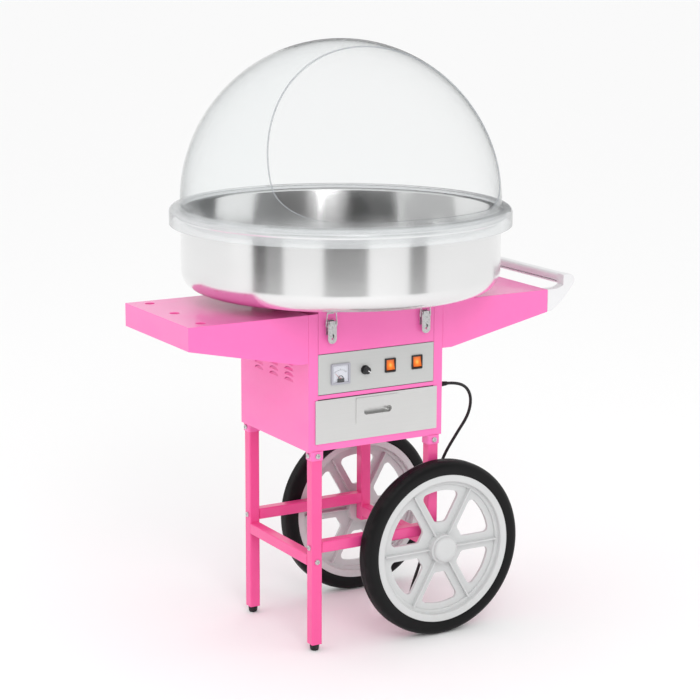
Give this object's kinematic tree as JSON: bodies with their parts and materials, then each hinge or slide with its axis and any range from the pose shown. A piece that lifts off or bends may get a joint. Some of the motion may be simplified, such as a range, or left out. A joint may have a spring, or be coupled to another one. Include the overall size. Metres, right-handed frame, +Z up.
{
  "type": "candy floss machine on a cart",
  "caption": "Candy-floss machine with a steel bowl and clear dome, on a pink steel cart with a drawer, side shelves, a push handle and spoked wheels",
  "frame": {"origin": "on the floor, under the middle of the cart's overall box, mains lead left out", "axes": "+Z up; +X from the leg end towards the push handle and wheels; the control panel faces -Y"},
  "size_m": [0.9696, 0.75, 1.312],
  "materials": {
    "pink_paint": "gloss",
    "pink_frame": "gloss",
    "bright_steel": "brushed",
    "satin_panel": "satin",
    "zinc": "bright zinc",
    "clear_dome": "clear polycarbonate",
    "clear_window": "clear",
    "pale_plastic": "satin",
    "white_plastic": "satin",
    "black_plastic": "satin",
    "amber_lens": "lit, clear amber",
    "tyre_rubber": "matt",
    "black_rubber": "matt",
    "needle_red": "matt",
    "cast_alloy": "machined",
    "motor_paint": "satin",
    "copper": "bright",
    "element": "heat-stained",
    "board_green": "satin"
  },
  "bodies": {
    "cart": {"axle": "zinc", "back_panel": "pink_paint", "bowl_buffers": "black_rubber", "brush_holder": "black_plastic", "cabinet_floor": "pink_paint", "control_board": "board_green", "control_panel": "satin_panel", "cord": "black_rubber", "cord_coil": "black_rubber", "cord_gland": "black_rubber", "divider_plate": "pink_paint", "drawer_runners": "zinc", "fasteners": "zinc", "handle_grip": "white_plastic", "handle_horns": "white_plastic", "latch_bases": "zinc", "leg_front_left": "pink_frame", "leg_front_right": "pink_frame", "leg_rear_left": "pink_frame", "leg_rear_right": "pink_frame", "machine_housing": "pink_paint", "meter_case": "white_plastic", "meter_window": "clear_window", "motor": "motor_paint", "plug": "black_rubber", "potentiometer": "zinc", "rail_front": "pink_frame", "rail_left": "pink_frame", "rail_rear": "pink_frame", "rail_right": "pink_frame", "rocker_housings": "black_plastic", "rubber_feet": "black_rubber", "shelf_left": "pink_paint", "shelf_right": "pink_paint", "side_panel_left": "pink_paint", "side_panel_right": "pink_paint"},
    "front_wheel": {"tyre_front": "tyre_rubber", "wheel_front": "pale_plastic", "hub_cap_front": "pale_plastic"},
    "rear_wheel": {"tyre_rear": "tyre_rubber", "wheel_rear": "pale_plastic", "hub_cap_rear": "pale_plastic"},
    "drawer": {"drawer_front": "bright_steel", "drawer_pull": "bright_steel", "drawer_box": "zinc"},
    "knob": {"heat_knob": "black_plastic"},
    "needle": {"meter_needle": "needle_red"},
    "power_switch": {"power_rocker": "amber_lens"},
    "heat_switch": {"heat_rocker": "amber_lens"},
    "spinner": {"spinner_shaft": "zinc", "slip_rings": "copper", "spinner_head": "cast_alloy", "spinner_band": "bright_steel", "heater_ring": "element"},
    "bowl_unit": {"bowl": "bright_steel"},
    "dome_cover": {"dome": "clear_dome"},
    "lever_left": {"latch_lever_left": "zinc"},
    "lever_right": {"latch_lever_right": "zinc"},
    "bail_left": {"latch_bail_left": "zinc"},
    "bail_right": {"latch_bail_right": "zinc"}
  },
  "joints": [
    {"name": "front_wheel_spin", "type": "hinge", "parent": "cart", "child": "front_wheel", "pos_m": [0.11275, -0.181, 0.199], "axis": [0, 1, 0], "continuous": true},
    {"name": "rear_wheel_spin", "type": "hinge", "parent": "cart", "child": "rear_wheel", "pos_m": [0.11275, 0.181, 0.199], "axis": [0, 1, 0], "continuous": true},
    {"name": "drawer_slide", "type": "slide", "parent": "cart", "child": "drawer", "axis": [0, -1, 0], "range_m": [0, 0.22]},
    {"name": "knob_turn", "type": "hinge", "parent": "cart", "child": "knob", "pos_m": [-0.06725, -0.165, 0.617], "axis": [0, 1, 0], "range_deg": [0, 300]},
    {"name": "needle_swing", "type": "hinge", "parent": "cart", "child": "needle", "pos_m": [-0.12825, -0.1585, 0.6036], "axis": [0, 1, 0], "range_deg": [0, 90]},
    {"name": "power_rock", "type": "hinge", "parent": "cart", "child": "power_switch", "pos_m": [-0.00375, -0.1545, 0.62], "axis": [1, 0, 0], "range_deg": [0, 24]},
    {"name": "heat_rock", "type": "hinge", "parent": "cart", "child": "heat_switch", "pos_m": [0.06425, -0.1545, 0.62], "axis": [1, 0, 0], "range_deg": [0, 24]},
    {"name": "spinner_spin", "type": "hinge", "parent": "cart", "child": "spinner", "pos_m": [-0.03725, 0, 0.78], "axis": [0, 0, 1], "continuous": true},
    {"name": "bowl_lift", "type": "slide", "parent": "cart", "child": "bowl_unit", "axis": [0, 0, 1], "range_m": [0, 0.15]},
    {"name": "dome_lift", "type": "slide", "parent": "bowl_unit", "child": "dome_cover", "axis": [0, 0, 1], "range_m": [0, 0.12]},
    {"name": "lever_left_swing", "type": "hinge", "parent": "cart", "child": "lever_left", "pos_m": [-0.15425, -0.165, 0.73], "axis": [-1, 0, 0], "range_deg": [0, 150]},
    {"name": "bail_left_swing", "type": "hinge", "parent": "lever_left", "child": "bail_left", "pos_m": [-0.15425, -0.165, 0.722], "axis": [-1, 0, 0], "range_deg": [-150, 0]},
    {"name": "lever_right_swing", "type": "hinge", "parent": "cart", "child": "lever_right", "pos_m": [0.07975, -0.165, 0.73], "axis": [-1, 0, 0], "range_deg": [0, 150]},
    {"name": "bail_right_swing", "type": "hinge", "parent": "lever_right", "child": "bail_right", "pos_m": [0.07975, -0.165, 0.722], "axis": [-1, 0, 0], "range_deg": [-150, 0]}
  ],
  "couplings": [
    {"joint": "bail_left_swing", "follows": "lever_left_swing", "ratio": -1},
    {"joint": "bail_right_swing", "follows": "lever_right_swing", "ratio": -1}
  ]
}
